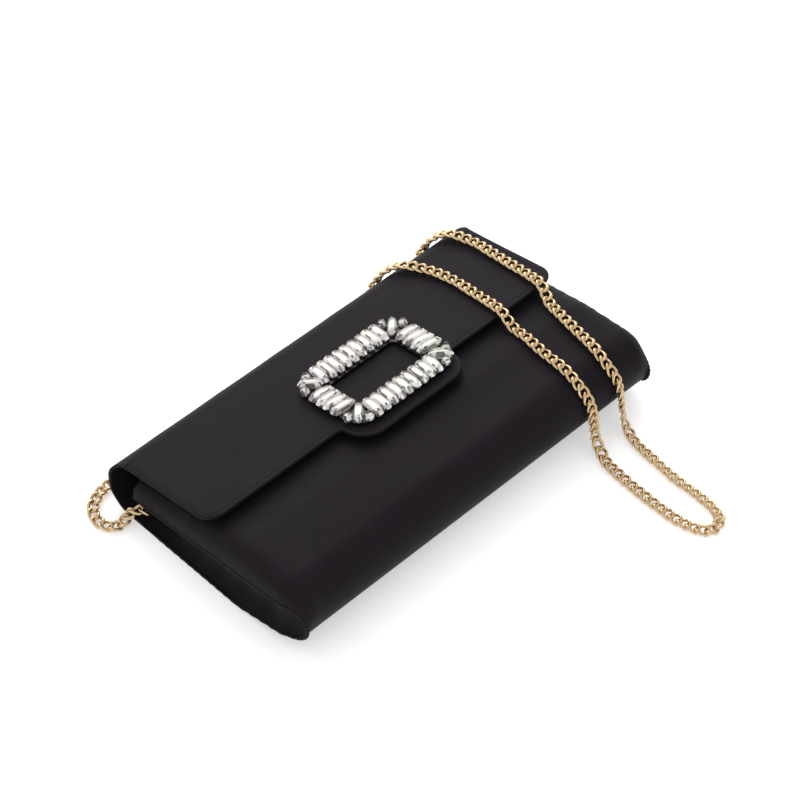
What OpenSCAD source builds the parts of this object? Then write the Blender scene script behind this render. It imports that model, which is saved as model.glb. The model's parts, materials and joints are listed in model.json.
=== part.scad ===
// Evening bag: a soft satin envelope clutch that lies on its back panel.
// A stiff flap closes over the front and carries a crystal buckle on a
// rounded tab.  A curb chain hooks to a ring at each end of the mouth.
// Millimetres.  X runs along the bag, -Y points to the rounded base,
// +Y to the fold, and +Z up.  The origin is on the surface it lies on.

/* [Body] */
// Width of the bag, seam to seam
bag_w = 274; // [220:1:340]
// Depth from the rounded base to the fold
bag_d = 156; // [130:1:200]
// Thickness of the satin with its backing
skin_t = 1.2; // [0.8:0.1:2]
// Outer radius of the rounded base
base_r = 20; // [14:1:24]
// How far the base curls up off the surface
base_lift = 6; // [2:1:10]
// Height of the side seam at the base end
seam_base_z = 34; // [26:1:38]
// Height of the side seam at the mouth end
seam_mouth_z = 19.5; // [14:0.5:24]
// Width of the puffed edge that runs down to each side seam
puff_w = 17; // [10:1:30]
// How far the side pleat folds inwards
pleat_d = 6; // [3:0.5:9]
// Thickness of the pleated side fabric
gusset_t = 1; // [0.6:0.1:1.4]
// Thickness of the stiffening board in the back
board_t = 2; // [1:0.1:2.4]
// Thickness of the foam in the front
foam_t = 2.4; // [1:0.1:2.6]
// Thickness of the lining
lining_t = 0.8; // [0.5:0.1:1.2]

/* [Pocket] */
// Width of the slip pocket
pocket_w = 160; // [100:1:200]
// Depth of the slip pocket
pocket_d = 56; // [40:1:62]
// Room inside the slip pocket
pocket_room = 5; // [4.5:0.5:6]

/* [Flap] */
// Width of the flap
flap_w = 268; // [200:1:330]
// Length of the flap from the fold to its straight front edge
flap_len = 72.6; // [60:0.2:90]
// Thickness of the whole flap
flap_t = 3; // [2.6:0.1:4]
// Thickness of the flap's satin
cover_t = 0.8; // [0.5:0.1:1]
// Radius of the flap's front corners
flap_corner_r = 11; // [4:1:16]
// Angle at which the closed flap rises towards its front edge
flap_rise = 9.93; // [8:0.01:12]
// Radius of the fold, outside
fold_r = 12; // [9:0.5:14]
// Thickness of the soft fold
fold_t = 2; // [1.2:0.1:2.5]
// Space between the closed flap and the front
closed_gap = 3.5; // [3.2:0.1:6]

/* [Tab] */
// Width of the rounded tab
tab_w = 84; // [80:1:110]
// How far the tab stands out past the flap
tab_out = 19.2; // [18:0.2:32]
// Radius of the tab's corners
tab_r = 20; // [10:1:22]
// Sideways place of the buckle and the snap
tab_x = 6.5; // [-20:0.5:20]
// Sideways step from the buckle's middle to the tab's
tab_step = -2; // [-3:0.5:3]

/* [Buckle] */
// Width of the crystal frame
buckle_w = 84; // [80:1:96]
// Depth of the crystal frame
buckle_d = 63; // [60:1:72]
// Width of the window in the frame
window_w = 50; // [40:1:60]
// Depth of the window in the frame
window_d = 25; // [18:1:30]
// Thickness of the metal frame
frame_t = 2; // [1.4:0.1:3]
// Height of the crystals above the frame
stone_h = 3.4; // [2:0.1:5]
// Width of a long crystal
stone_w = 5.2; // [4.2:0.1:5.4]
// Length of a long crystal
stone_l = 17; // [12:0.5:18]
// Slant of a long crystal from its side of the frame
stone_slant = 83; // [78:1:90]
// Space between two crystals, centre to centre along the side
stone_pitch = 5.8; // [5.6:0.1:7]
// Diameter of a round crystal
round_stone = 4.6; // [3:0.1:5]
// Radius of a post that holds the frame
post_r = 1.2; // [0.8:0.1:1.6]
// Radius of a post's washer
post_washer_r = 4; // [3:0.1:5]

/* [Snap] */
// Radius of the magnetic snap
snap_r = 8; // [6:0.1:9]
// Thickness of the snap's socket
socket_t = 1.8; // [1.4:0.1:1.9]
// Thickness of the snap's stud plate
stud_t = 1.1; // [0.8:0.1:1.2]
// Radius of the boss that drops into the socket
boss_r = 2.9; // [2:0.1:3.5]
// Clearance round the boss
boss_gap = 0.3; // [0.2:0.05:0.6]
// Thickness of the washers behind snap and buckle
washer_t = 0.6; // [0.4:0.1:0.8]
// Radius of the snap's washers
snap_washer_r = 6; // [4:0.1:7]
// Radius of the snap's shanks
shank_r = 1.5; // [1:0.1:2]
// Distance of the snap from the tab's front edge
snap_in = 14; // [12:0.5:20]

/* [Rings and clasps] */
// Distance from the middle of the bag to each ring
ring_x = 108; // [90:1:112]
// Radius of the ring's wire
ring_wire = 0.8; // [0.6:0.05:1]
// Radius of the ring at the middle of its wire
ring_r = 5.5; // [5:0.1:7]
// Width of the satin loop that holds the ring
loop_w = 8; // [6:0.5:9]
// Thickness of a clasp
clasp_t = 2.6; // [2.2:0.1:3]
// Radius of the clasp's eye, inside
eye_r = 2.2; // [1.9:0.1:2.6]
// Radius of the clasp's eye, outside
hook_r = 4.2; // [3.9:0.1:4.6]
// Distance from the clasp's eye to its tail hole
tail_l = 11; // [9:0.5:13]
// Radius of the clasp's tail
tail_r = 2.4; // [2:0.1:3]
// Radius of the tail hole
tail_hole_r = 1.1; // [0.9:0.05:1.3]
// Thickness of the clasp's sprung gate
gate_t = 1.4; // [1:0.1:1.6]
// Running clearance round the gate's pin
pin_gap = 0.05; // [0.03:0.01:0.1]
// Radius of the gate's pin
pin_r = 0.4; // [0.3:0.05:0.5]

/* [Chain] */
// Diameter of the plain tube that stands for the chain
chain_d = 5; // [4:0.1:7]

/* [Hidden] */

$fn = 48;
satin = [0.13, 0.12, 0.14];
lining_colour = [0.09, 0.09, 0.10];
card = [0.72, 0.66, 0.55];
steel = [0.72, 0.72, 0.74];
gold = [0.86, 0.68, 0.36];
crystal = [0.88, 0.93, 0.96];
eps = 0.01;
// Flat land along each side seam
seam_land = 0.5;

// Places of the body's section, in the YZ plane
base_y = -bag_d / 2;
fold_y = bag_d / 2;
base_c = [base_y + base_r, base_lift + base_r];
fold_c = [fold_y - fold_r, base_lift + 17.7];
// The soft fold leaves the surface this far in from the fold
fold_start = fold_y - 24;
// The back's satin ends where the fold's own strip begins
mouth_y = fold_start - 2;
// The side pleats and the lining's side walls stop short of the mouth
side_end = mouth_y - 7;
flat_end = base_y + 58;
end_r = (seam_base_z - 11) / 2;
end_c = [base_y + end_r, seam_base_z - end_r];
mid_half = bag_w / 2 - puff_w;
side_x = bag_w / 2;
split_y = base_y + 18;
split_z = 13;
cavity_inset = skin_t + max(board_t, foam_t) + 0.2;
lining_in = cavity_inset + lining_t;
lining_side = skin_t + pleat_d + gusset_t + 2;

// The flap's own plane: z = 0 on its outer face, -y towards its front edge
fold_top = fold_c + fold_r * [sin(flap_rise), cos(flap_rise)];
panel_under = flap_t + closed_gap;
front_from = base_y + 52;

// A point on the front of the body, under the flap, at a given y
function front_z(y, d = 0) =
    fold_top[1] - (y - fold_top[0]) * tan(flap_rise)
    - (panel_under + d) / cos(flap_rise);

function arc(c, r, a0, a1, n) =
    [for (i = [0:n]) c + r * [cos(a0 + (a1 - a0) * i / n), sin(a0 + (a1 - a0) * i / n)]];

// The angle at which a line from point p touches the circle (c, r) below it
function touch(p, c, r) =
    let (v = c - p)
    atan2(v[1], v[0]) + asin(r / norm(v)) + 90;

// Sections of the body at its middle and at its ends, set in by d
function mid_section(d, past) =
    let (a = touch([flat_end, d], base_c, base_r - d))
    concat(
        [[mouth_y + past, d], [flat_end, d]],
        arc(base_c, base_r - d, a, 90, 12),
        [[front_from, front_z(front_from, d)],
         [mouth_y + past, front_z(mouth_y + past, d)]]);

function end_section(d, past) =
    let (a = touch([flat_end, d], end_c, end_r - d),
         top = seam_mouth_z - d,
         fall = (seam_base_z - seam_mouth_z) / (mouth_y - end_c[0]))
    concat(
        [[mouth_y + past, d], [flat_end, d]],
        arc(end_c, end_r - d, a, 90, 8),
        [[mouth_y + past, top - fall * past]]);

// A closed solid with a YZ outline, from x0 to x1
module slab(points, x0, x1) {
    translate([x0, 0, 0])
        rotate([90, 0, 90])
            linear_extrude(x1 - x0)
                polygon(points);
}

// The body's closed shape, set in by d, and by e at its two ends
module body_shape(d, e, past = 0) {
    hull() {
        slab(mid_section(d, past), -mid_half, mid_half);
        slab(end_section(d, past), e - side_x, e - side_x + seam_land);
        slab(end_section(d, past), side_x - e - seam_land, side_x - e);
    }
}

// One layer of the body, open at the mouth
module body_layer(d0, e0, d1, e1) {
    difference() {
        body_shape(d0, e0);
        body_shape(d1, e1, 6);
    }
}

// The satin shell with the side windows that the pleats fill
module satin_shell() {
    difference() {
        body_layer(0, 0, skin_t, skin_t);
        for (s = [-1, 1])
            intersection() {
                slab(end_section(skin_t, 6), s * side_x - 3, s * side_x + 3);
                translate([-bag_w, end_c[0], -1])
                    cube([2 * bag_w, bag_d, 60]);
            }
    }
}

module back_region() {
    translate([-bag_w, split_y, -1])
        cube([2 * bag_w, bag_d, split_z + 1]);
}

// Puts what is drawn in the flap's own plane in its place
module on_flap() {
    translate([0, fold_top[0], fold_top[1]])
        rotate([-flap_rise, 0, 0])
            children();
}

// The flap's outline, set in by d: two front corners and the rounded tab
function flap_outline(d) =
    let (w = flap_w / 2 - d,
         r = flap_corner_r - d,
         f = -flap_len + d,
         tl = tab_x + tab_step - tab_w / 2 + d,
         tr = tab_x + tab_step + tab_w / 2 - d,
         tf = -flap_len - tab_out + d,
         q = min(tab_r, tab_out) - d)
    concat(
        [[w, -d - edge_gap], [-w, -d - edge_gap]],
        arc([-w + r, f + r], r, 180, 270, 8),
        [[tl, f]],
        arc([tl + q, tf + q], q, 180, 270, 12),
        arc([tr - q, tf + q], q, 270, 360, 12),
        [[tr, f]],
        arc([w - r, f + r], r, 270, 360, 8));

edge_wrap = 1.2;
// The flap's back edge stands this far off the fold's strip
edge_gap = 0.15;
board_z0 = -(flap_t - lining_t);
buckle_y = -flap_len + 17.9;
snap_y = -flap_len - tab_out + snap_in;

module plate(points, z0, z1) {
    translate([0, 0, z0])
        linear_extrude(z1 - z0)
            polygon(points);
}

module disc(r, z0, z1) {
    translate([0, 0, z0])
        cylinder(r = r, h = z1 - z0);
}

module at_snap() {
    translate([tab_x, snap_y, 0])
        children();
}

// Four posts, one at each corner of the frame, whose washers stay inside the tab's edge
post_x = min((buckle_w + window_w) / 4, tab_step + tab_w / 2 - edge_wrap - post_washer_r - 1);

module at_posts() {
    translate([tab_x, buckle_y, 0])
        for (sx = [-1, 1], sy = [-1, 1])
            translate([sx * post_x, sy * (buckle_d + window_d) / 4, 0])
                children();
}

// ---- the satin body ----

module back_panel() {
    color(satin)
        intersection() {
            satin_shell();
            back_region();
        }
}

module front_panel() {
    color(satin)
        difference() {
            satin_shell();
            back_region();
            on_flap()
                at_snap()
                    disc(shank_r, -panel_under - 6, -flap_t);
        }
}

// One leaf of a side pleat between two heights at each of two depths
module leaf(x0, x1, near, far) {
    hull()
        for (q = [[x0, near[0], near[1]], [x1, near[0], near[2]],
                  [x0, far[0], far[1]], [x1, far[0], far[2]]])
            translate([q[0], q[1], q[2]])
                cube([gusset_t, eps, gusset_t]);
}

// The underside of the seam at depth y, and the floor of the side at depth y
function seam_under(y) =
    seam_base_z - skin_t - gusset_t - 0.6
    - (seam_base_z - seam_mouth_z) * (y - end_c[0]) / (mouth_y - end_c[0]);
function side_floor(y) =
    y > flat_end ? skin_t : skin_t + (flat_end - y) * 0.255;

module gusset() {
    out_x = side_x - skin_t - gusset_t;
    in_x = out_x - pleat_d;
    depths = [side_end, flat_end, end_c[0] + 2];
    for (i = [0, 1])
        let (a = depths[i], b = depths[i + 1],
             ma = (side_floor(a) + seam_under(a)) / 2,
             mb = (side_floor(b) + seam_under(b)) / 2) {
            leaf(out_x, in_x, [a, side_floor(a), ma], [b, side_floor(b), mb]);
            leaf(out_x, in_x, [a, seam_under(a), ma], [b, seam_under(b), mb]);
        }
}

module left_gusset() {
    color(satin)
        mirror([1, 0, 0])
            gusset();
}

module right_gusset() {
    color(satin)
        gusset();
}

module back_board() {
    color(card)
        intersection() {
            body_layer(skin_t, lining_side, skin_t + board_t, lining_side + 1);
            translate([-side_x + lining_side + 1, base_y + 22, 0])
                cube([bag_w - 2 * lining_side - 2, bag_d, 14]);
        }
}

module front_foam() {
    color(card)
        difference() {
            intersection() {
                body_layer(skin_t, lining_side, skin_t + foam_t, lining_side + 1);
                translate([-mid_half, base_c[0], base_c[1]])
                    cube([2 * mid_half, bag_d, 40]);
            }
            on_flap()
                at_snap() {
                    disc(shank_r, -panel_under - 6, 0);
                    disc(snap_washer_r, -panel_under - skin_t - foam_t - 1,
                         -panel_under - skin_t - foam_t + washer_t);
                }
        }
}

module lining() {
    color(lining_colour)
        difference() {
            body_layer(cavity_inset, lining_side, lining_in, lining_side + lining_t);
            translate([-bag_w, side_end, lining_in + 0.5])
                cube([2 * bag_w, bag_d, seam_mouth_z - lining_in - 4]);
        }
}

module slip_pocket() {
    wall = lining_t;
    y0 = mouth_y - 10 - pocket_d;
    color(lining_colour)
        difference() {
            translate([-pocket_w / 2, y0, lining_in])
                cube([pocket_w, pocket_d, pocket_room + wall]);
            translate([-pocket_w / 2 + wall, y0 + wall, lining_in - 1])
                cube([pocket_w - 2 * wall, pocket_d, pocket_room + 1]);
        }
}

// ---- the soft fold between the back and the flap ----

// The angle at which the strip, rising from the surface, meets the fold's round
fold_run = fold_c - [fold_start, 0];
fold_touch = atan2(fold_run[1], fold_run[0]) - asin(fold_r / norm(fold_run)) - 90;

module fold_strip() {
    rise = fold_touch + 90;
    inner = [fold_start - fold_t * tan(rise / 2), fold_t];
    section = concat(
        [[mouth_y, 0], [fold_start, 0]],
        arc(fold_c, fold_r, fold_touch, 90 - flap_rise, 14),
        arc(fold_c, fold_r - fold_t, 90 - flap_rise, fold_touch, 14),
        [inner, [mouth_y, fold_t]]);
    color(satin)
        slab(section, -flap_w / 2, flap_w / 2);
}

// ---- the flap ----

module flap_cover() {
    color(satin)
        on_flap()
            difference() {
                plate(flap_outline(0), board_z0, 0);
                plate(flap_outline(edge_wrap), board_z0 - 1, -cover_t);
                at_posts()
                    disc(post_r, -flap_t, 1);
            }
}

module flap_board() {
    color(card)
        on_flap()
            difference() {
                plate(flap_outline(edge_wrap), board_z0, -cover_t);
                at_posts() {
                    disc(post_r, -flap_t, 1);
                    disc(post_washer_r, -flap_t, board_z0 + washer_t);
                }
                at_snap()
                    disc(snap_washer_r, -flap_t, board_z0 + washer_t);
            }
}

module flap_lining() {
    color(lining_colour)
        on_flap()
            difference() {
                plate(flap_outline(0.4), -flap_t, board_z0);
                at_snap()
                    disc(shank_r, -flap_t - 1, 0);
            }
}

// ---- the crystal buckle ----

// A rectangle with rounded corners, centred
function rounded(w, h, r, n = 6) =
    concat(
        arc([w / 2 - r, h / 2 - r], r, 0, 90, n),
        arc([-w / 2 + r, h / 2 - r], r, 90, 180, n),
        arc([-w / 2 + r, -h / 2 + r], r, 180, 270, n),
        arc([w / 2 - r, -h / 2 + r], r, 270, 360, n));

module at_buckle() {
    on_flap()
        translate([tab_x, buckle_y, 0])
            children();
}

module buckle_frame() {
    color(steel)
        at_buckle()
            difference() {
                plate(rounded(buckle_w - 6, buckle_d - 6, 12), 0, frame_t);
                plate(rounded(window_w, window_d, 3), -1, frame_t + 1);
            }
}

// A long crystal with pointed, blunted ends
module long_stone(l = stone_l, w = stone_w) {
    plate([[l / 2, w * 0.22], [l / 2 - w * 0.5, w / 2], [-l / 2 + w * 0.5, w / 2],
           [-l / 2, w * 0.22], [-l / 2, -w * 0.22], [-l / 2 + w * 0.5, -w / 2],
           [l / 2 - w * 0.5, -w / 2], [l / 2, -w * 0.22]],
          frame_t, frame_t + stone_h);
}

long_count = floor((window_w + 3) / stone_pitch);
short_count = floor(window_d / stone_pitch);
long_row_y = (buckle_d + window_d) / 4;
short_row_x = (buckle_w + window_w) / 4;

module long_side_stones() {
    color(crystal)
        at_buckle()
            for (s = [-1, 1], i = [0:long_count - 1])
                translate([(i - (long_count - 1) / 2) * stone_pitch, s * long_row_y, 0])
                    rotate([0, 0, stone_slant])
                        long_stone();
}

module short_side_stones() {
    color(crystal)
        at_buckle()
            for (s = [-1, 1], i = [0:short_count - 1])
                translate([s * short_row_x, (i - (short_count - 1) / 2) * stone_pitch, 0])
                    rotate([0, 0, stone_slant - 90])
                        long_stone();
}

// Corner crystals point outwards along the diagonal from the window's corner
corner_c = [window_w / 2 + 6.8, window_d / 2 + 7.2];
corner_l = 13.4;
corner_w = 4.6;
// A round crystal sits on each side of a corner crystal
round_places = [
    [window_w / 2 + 4.7, window_d / 2 + 13.6],
    [window_w / 2 + 13, window_d / 2 + 5]];

module corner_stones() {
    color(crystal)
        at_buckle()
            for (sx = [-1, 1], sy = [-1, 1])
                translate([sx * corner_c[0], sy * corner_c[1], 0])
                    rotate([0, 0, sx * sy * 45])
                        long_stone(corner_l, corner_w);
}

module round_stones() {
    color(crystal)
        at_buckle()
            for (sx = [-1, 1], sy = [-1, 1], p = round_places)
                translate([sx * p[0], sy * p[1], 0])
                    disc(round_stone / 2, frame_t, frame_t + stone_h - 0.6);
}

module buckle_posts() {
    color(steel)
        on_flap()
            at_posts()
                disc(post_r, board_z0 + washer_t, 0);
}

module buckle_washers() {
    color(steel)
        on_flap()
            at_posts()
                disc(post_washer_r, board_z0, board_z0 + washer_t);
}

// ---- the magnetic snap under the tab ----

module snap_stud() {
    color(steel)
        on_flap()
            at_snap() {
                disc(snap_r, -flap_t - stud_t, -flap_t);
                disc(boss_r, -flap_t - stud_t - 1.1, -flap_t);
                disc(shank_r, -flap_t, board_z0);
            }
}

module snap_stud_washer() {
    color(steel)
        on_flap()
            at_snap()
                disc(snap_washer_r, board_z0, board_z0 + washer_t);
}

module snap_socket() {
    color(steel)
        on_flap()
            at_snap() {
                difference() {
                    disc(snap_r, -panel_under, -panel_under + socket_t);
                    disc(boss_r + boss_gap, -panel_under + 0.5, 0);
                }
                disc(shank_r, -panel_under - skin_t - foam_t + washer_t, -panel_under);
            }
}

module snap_socket_washer() {
    color(steel)
        on_flap()
            at_snap()
                disc(snap_washer_r, -panel_under - skin_t - foam_t,
                     -panel_under - skin_t - foam_t + washer_t);
}

// ---- rings, clasps and chain ends ----

ring_y = mouth_y - 0.5;
ring_z = lining_in + ring_wire + 0.9;
// The clasp lies just above the satin loop, with the ring's wire through its eye
clasp_z = ring_z + (ring_z - lining_in) + 0.1 + clasp_t / 2;
eye_x = ring_x + ring_r * cos(asin((clasp_z - ring_z) / ring_r)) - 0.5;
tail_x = eye_x + tail_l;
end_ring_r = 2.6;
end_ring_wire = 0.6;
cheek = (clasp_t - gate_t - 0.2) / 2;
gate_pivot = [3.0, 1.3];
gate_a0 = 24;
gate_a1 = 120;
// The gate reaches this far from its pin, and the nose stands just clear of it
gate_reach = 3.7;

// A part of a flat ring between two angles
function sector(r0, r1, a0, a1) =
    concat(arc([0, 0], r1, a0, a1, 8), arc([0, 0], r0, a1, a0, 8));

module ring_loop() {
    bore = ring_wire + 0.05;
    difference() {
        union() {
            translate([ring_x - loop_w / 2, ring_y - 12, lining_in])
                cube([loop_w, 12, 1.6]);
            translate([ring_x - loop_w / 2, ring_y, ring_z])
                rotate([0, 90, 0])
                    cylinder(r = ring_z - lining_in, h = loop_w);
        }
        translate([ring_x - loop_w, ring_y, ring_z])
            rotate([0, 90, 0])
                cylinder(r = bore, h = 2 * loop_w);
    }
}

module d_ring() {
    translate([ring_x, ring_y, ring_z]) {
        rotate([0, 90, 0])
            translate([0, 0, -ring_r])
                cylinder(r = ring_wire, h = 2 * ring_r);
        rotate([90, 0, 0])
            rotate_extrude(angle = 180)
                translate([ring_r, 0])
                    circle(r = ring_wire);
        for (s = [-1, 1])
            translate([s * ring_r, 0, 0])
                sphere(r = ring_wire);
    }
}

module at_clasp() {
    translate([eye_x, ring_y, clasp_z - clasp_t / 2])
        children();
}

module clasp() {
    at_clasp() {
        difference() {
            union() {
                cylinder(r = hook_r, h = clasp_t);
                translate([tail_l, 0, 0])
                    cylinder(r = tail_r, h = clasp_t);
                linear_extrude(clasp_t)
                    polygon([[0.5, hook_r - 0.1], [tail_l, tail_r], [tail_l, -tail_r],
                             [0.5, -hook_r + 0.1]]);
            }
            translate([0, 0, -1])
                cylinder(r = eye_r, h = clasp_t + 2);
            translate([tail_l, 0, -1])
                cylinder(r = tail_hole_r, h = clasp_t + 2);
            intersection() {
                translate([0, 0, -1])
                    linear_extrude(clasp_t + 2)
                        polygon(sector(0.5, hook_r + 1.5, 46, gate_a1 + 3));
                translate([gate_pivot[0], gate_pivot[1], -2])
                    cylinder(r = gate_reach + 0.1, h = clasp_t + 4);
            }
            translate([0, 0, cheek])
                linear_extrude(gate_t + 0.2)
                    polygon(sector(0.5, hook_r + 1.5, 26, 60));
            translate([gate_pivot[0], gate_pivot[1], cheek])
                cylinder(r = 1.1, h = gate_t + 0.2);
        }
        translate([gate_pivot[0], gate_pivot[1], 0])
            cylinder(r = pin_r, h = clasp_t);
    }
}

module clasp_gate() {
    at_clasp()
        translate([0, 0, cheek + 0.1])
            difference() {
                union() {
                    intersection() {
                        linear_extrude(gate_t)
                            polygon(sector(eye_r + 0.1, hook_r - 0.1, gate_a0, gate_a1));
                        translate([gate_pivot[0], gate_pivot[1], -1])
                            cylinder(r = gate_reach, h = gate_t + 2);
                    }
                    translate([gate_pivot[0], gate_pivot[1], 0])
                        cylinder(r = 0.85, h = gate_t);
                }
                translate([gate_pivot[0], gate_pivot[1], -1])
                    cylinder(r = pin_r + pin_gap, h = gate_t + 2);
            }
}

module end_ring() {
    translate([tail_x + end_ring_r, ring_y, clasp_z])
        rotate([90, 0, 0])
            rotate_extrude()
                translate([end_ring_r, 0])
                    circle(r = end_ring_wire);
}

module left() {
    mirror([1, 0, 0])
        children();
}

module left_ring_loop() { color(satin) left() ring_loop(); }
module right_ring_loop() { color(satin) ring_loop(); }
module left_ring() { color(gold) left() d_ring(); }
module right_ring() { color(gold) d_ring(); }
module left_clasp() { color(gold) left() clasp(); }
module right_clasp() { color(gold) clasp(); }
module left_clasp_gate() { color(gold) left() clasp_gate(); }
module right_clasp_gate() { color(gold) clasp_gate(); }
module left_end_ring() { color(gold) left() end_ring(); }
module right_end_ring() { color(gold) end_ring(); }

// ---- the chain, as a plain tube along its own route ----

// Out of the left end of the mouth, round a small loop and along the back
left_route = [
    [-131, 51, 9], [-135, 53, 11], [-138, 56, 11], [-141, 59, 8], [-143, 60, 5],
    [-146, 60, 3], [-150, 62, 3], [-153, 67, 3], [-153, 73, 3], [-150, 79, 3],
    [-145, 83, 3], [-138, 86, 3], [-126, 87, 3], [-110, 86, 3], [-92, 88, 3],
    [-72, 91, 3], [-52, 90, 3], [-32, 87, 3], [-12, 88, 3], [8, 91, 3],
    [26, 91, 3], [42, 88, 3], [52, 86, 3], [59, 85, 3]];

// Over the fold, down the front, out on the surface, and back the same way
loop_route = [
    [64, 84, 6], [66, 83, 15], [70, 82, 25], [76, 78, 34], [82, 71, 38.6],
    [87, 61, 40], [90, 50, 41.8], [91, 35, 44.4], [90, 20, 47], [89, 5, 49.7],
    [88, -3, 51], [87, -9, 49], [86, -16, 47], [85, -26, 48.5], [83, -42, 48.8],
    [82, -58, 49.3], [81, -69, 46.4], [82, -77, 39], [83, -81, 29], [84, -82, 18],
    [84, -84, 9], [82, -90, 4], [79, -98, 3], [77, -114, 3], [76, -132, 3],
    [76, -149, 3], [78, -161, 3], [82, -169, 3], [88, -171, 3], [94, -168, 3],
    [97, -160, 3], [98, -148, 3], [98, -132, 3], [100, -114, 3], [102, -99, 3],
    [105, -90, 4], [107, -84, 9], [107, -82, 19], [106, -81, 29], [105, -77, 39],
    [104, -69, 46.4], [106, -58, 49.3], [109, -42, 48.8], [112, -26, 48.5],
    [115, -16, 47], [118, -9, 49], [120, -3, 51], [121, 5, 49.7], [122, 20, 47],
    [123, 35, 44.4], [124, 50, 41.8], [123, 61, 40], [120, 71, 38.6],
    [115, 78, 34], [109, 82, 25], [105, 83, 15], [103, 84, 6]];

// Along the back and in at the right end of the mouth
right_route = [
    [110.5, 89.5, 3], [116, 91, 3], [124, 89, 3],
    [134, 86, 3], [142, 81, 3], [147, 74, 3], [148, 67, 3], [146, 61, 4],
    [142, 57, 8], [138, 54, 11], [134, 52, 10], [131, 51, 9]];

function unit(v) = v / norm(v);

// A point on the smooth curve through four route points
function curve(a, b, c, d, t) =
    0.5 * (2 * b + (c - a) * t + (2 * a - 5 * b + 4 * c - d) * t * t
           + (3 * b - a - 3 * c + d) * t * t * t);

// The route with one more point halfway along each long step
function smooth_route(p) =
    let (n = len(p) - 1)
    concat(
        [for (i = [0:n - 1])
            let (a = p[max(i - 1, 0)], b = p[i], c = p[i + 1], d = p[min(i + 2, n)],
                 k = max(1, round(norm(c - b) / 16)))
            for (j = [0:k - 1]) curve(a, b, c, d, j / k)],
        [p[n]]);

function heading(p, i) =
    unit(p[min(i + 1, len(p) - 1)] - p[max(i - 1, 0)]);

// A sideways direction for each point, carried along without twisting
function carried(p, u, i = 0) =
    let (t = heading(p, i), w = unit(u - (u * t) * t))
    i == len(p) - 1 ? [w] : concat([w], carried(p, w, i + 1));

module tube(route, d) {
    sides = 8;
    p = smooth_route(route);
    n = len(p);
    us = carried(p, unit(cross(heading(p, 0), [0.1, 0.2, 1])));
    ring = [for (i = [0:n - 1])
        let (u = us[i], v = cross(heading(p, i), u))
        for (k = [0:sides - 1])
            p[i] + d / 2 * (cos(360 * k / sides) * u + sin(360 * k / sides) * v)];
    walls = [for (i = [0:n - 2], k = [0:sides - 1])
        [i * sides + k, i * sides + (k + 1) % sides,
         (i + 1) * sides + (k + 1) % sides, (i + 1) * sides + k]];
    caps = [[for (k = [0:sides - 1]) sides - 1 - k],
            [for (k = [0:sides - 1]) (n - 1) * sides + k]];
    polyhedron(points = ring, faces = concat(walls, caps));
}

module chain_left_lead() { color(gold) tube(left_route, chain_d); }
module chain_loop() { color(gold) tube(loop_route, chain_d); }
module chain_right_lead() { color(gold) tube(right_route, chain_d); }

back_panel();
front_panel();
left_gusset();
right_gusset();
back_board();
front_foam();
lining();
slip_pocket();
fold_strip();
flap_cover();
flap_board();
flap_lining();
buckle_frame();
long_side_stones();
short_side_stones();
corner_stones();
round_stones();
buckle_posts();
buckle_washers();
snap_stud();
snap_stud_washer();
snap_socket();
snap_socket_washer();
left_ring_loop();
right_ring_loop();
left_ring();
right_ring();
left_clasp();
right_clasp();
left_clasp_gate();
right_clasp_gate();
left_end_ring();
right_end_ring();
chain_left_lead();
chain_loop();
chain_right_lead();
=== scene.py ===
# %% [markdown]
# # A satin evening bag
# The bag is a soft envelope that lies on its back. A stiff flap closes over its front and carries a crystal
# buckle, and a gold curb chain is draped over it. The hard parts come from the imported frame, which fixes every
# size and joint. This script gives them their finishes and models the soft parts, the crystals and the chain.

# %% Load the frame
import json
import math
import random

import bmesh
import bpy
from mathutils import Matrix, Vector


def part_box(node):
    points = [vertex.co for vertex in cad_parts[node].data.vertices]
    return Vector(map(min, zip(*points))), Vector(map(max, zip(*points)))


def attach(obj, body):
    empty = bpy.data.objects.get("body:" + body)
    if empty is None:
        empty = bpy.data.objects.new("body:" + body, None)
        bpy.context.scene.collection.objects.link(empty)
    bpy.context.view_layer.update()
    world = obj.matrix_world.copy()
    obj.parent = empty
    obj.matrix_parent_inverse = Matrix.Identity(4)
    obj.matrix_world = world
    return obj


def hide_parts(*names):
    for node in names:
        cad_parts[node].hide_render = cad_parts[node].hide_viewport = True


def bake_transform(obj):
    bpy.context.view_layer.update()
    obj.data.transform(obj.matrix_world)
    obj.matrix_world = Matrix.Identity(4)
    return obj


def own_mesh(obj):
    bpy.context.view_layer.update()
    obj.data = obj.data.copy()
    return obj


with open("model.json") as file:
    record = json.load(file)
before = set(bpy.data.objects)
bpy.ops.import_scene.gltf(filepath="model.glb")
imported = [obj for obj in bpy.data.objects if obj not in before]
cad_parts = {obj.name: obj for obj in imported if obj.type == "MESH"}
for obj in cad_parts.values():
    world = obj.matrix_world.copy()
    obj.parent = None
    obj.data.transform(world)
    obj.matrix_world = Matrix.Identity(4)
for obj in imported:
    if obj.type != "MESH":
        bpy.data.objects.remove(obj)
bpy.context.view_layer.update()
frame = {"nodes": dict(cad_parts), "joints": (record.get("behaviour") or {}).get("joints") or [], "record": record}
MM = 0.001

# %% [markdown]
# ## The camera
# The camera comes first, because everything that is seen is judged through it. It stands high in front of the
# bag's left corner with a long lens, so that the bag's long edges stay nearly parallel.

# %% Camera
camera_data = bpy.data.cameras.new("camera")
camera_data.lens = 119.74
camera_data.sensor_width = 36
camera = bpy.data.objects.new("camera", camera_data)
camera.location = (-0.69284, -0.71996, 1.13355)
camera.rotation_euler = (math.radians(90 - 47.59), 0, math.radians(-44.35))
bpy.context.scene.collection.objects.link(camera)
bpy.context.scene.camera = camera
print("camera at", tuple(camera.location))

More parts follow.
